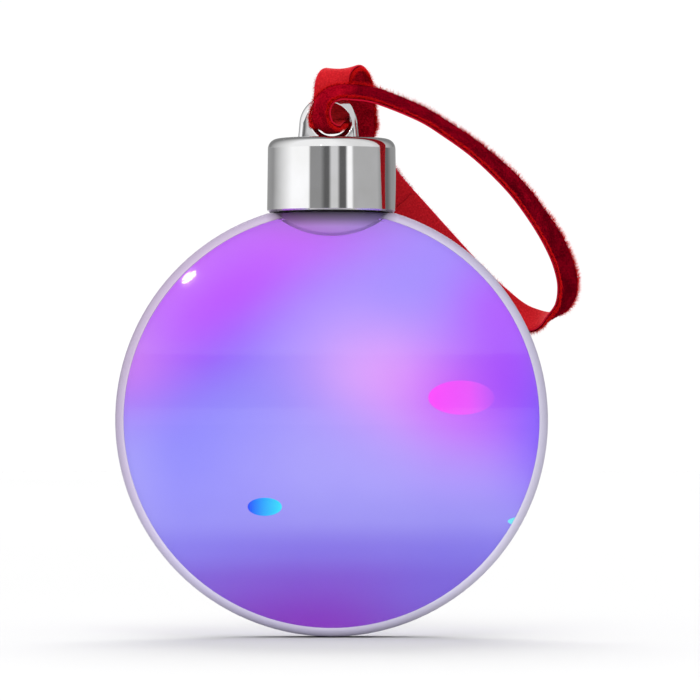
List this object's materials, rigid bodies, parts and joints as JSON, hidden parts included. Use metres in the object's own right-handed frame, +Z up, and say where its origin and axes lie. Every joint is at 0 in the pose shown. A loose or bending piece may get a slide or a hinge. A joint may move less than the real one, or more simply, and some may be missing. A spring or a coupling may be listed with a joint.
{
  "type": "light-up hanging bauble",
  "caption": "Flat round hanging bauble: printed disc with clear domed windows and a pearly rim, chrome cap with light unit and slide switch, and a velvet ribbon loop through its eye.",
  "frame": {"origin": "centre of the hole in the hanging eye", "axes": "+Z up along the hanging axis, +Y to the rear, where the switch is, +X to the right seen from the front"},
  "size_m": [0.0862, 0.0293, 0.1062],
  "materials": {
    "pearl_rim": "pearly translucent moulded plastic, polished",
    "clear_window": "clear polished acrylic",
    "printed_film": "printed film, violet, periwinkle and lilac gradient with three plain ellipses, lit from behind",
    "opal_film": "opal diffusing film",
    "white_plastic": "moulded white plastic, fine matt grain",
    "black_rubber": "matt black rubber",
    "cap_chrome": "bright chrome plating",
    "cell_steel": "nickel-plated steel",
    "contact_brass": "nickel-flashed phosphor bronze",
    "board_green": "green solder mask",
    "led_epoxy": "water-clear epoxy",
    "tinned_wire": "tinned wire",
    "resistor_black": "black ceramic chip",
    "knob_black": "black moulded plastic with finger ribs",
    "screw_steel": "zinc-plated steel",
    "red_velvet": "velvet, dark pile on one side and smooth bright red on the other"
  },
  "bodies": {
    "cap": {"cap_shell": "cap_chrome", "hanging_eye": "cap_chrome", "battery_tray": "white_plastic", "coin_cell": "cell_steel", "positive_contact": "contact_brass", "negative_contact": "contact_brass", "circuit_board": "board_green", "led_bulb": "led_epoxy", "led_leads": "tinned_wire", "resistor": "resistor_black", "switch_body": "cell_steel", "switch_pins": "tinned_wire", "base_cover": "white_plastic", "cover_screws": "screw_steel", "ribbon": "red_velvet", "ribbon_join": "red_velvet"},
    "disc": {"front_shell": "pearl_rim", "rear_shell": "pearl_rim", "front_lens": "clear_window", "rear_lens": "clear_window", "front_print": "printed_film", "rear_print": "printed_film", "front_diffuser": "opal_film", "rear_diffuser": "opal_film", "reflector_ring": "white_plastic", "neck_ring": "black_rubber"},
    "switch_slider": {"switch_knob": "knob_black"}
  },
  "joints": [
    {"name": "disc_pull_off", "type": "slide", "parent": "cap", "child": "disc", "axis": [0, 0, -1], "range_m": [0, 0.012]},
    {"name": "switch_slide", "type": "slide", "parent": "cap", "child": "switch_slider", "axis": [-1, 0, 0], "range_m": [0, 0.0015]}
  ]
}
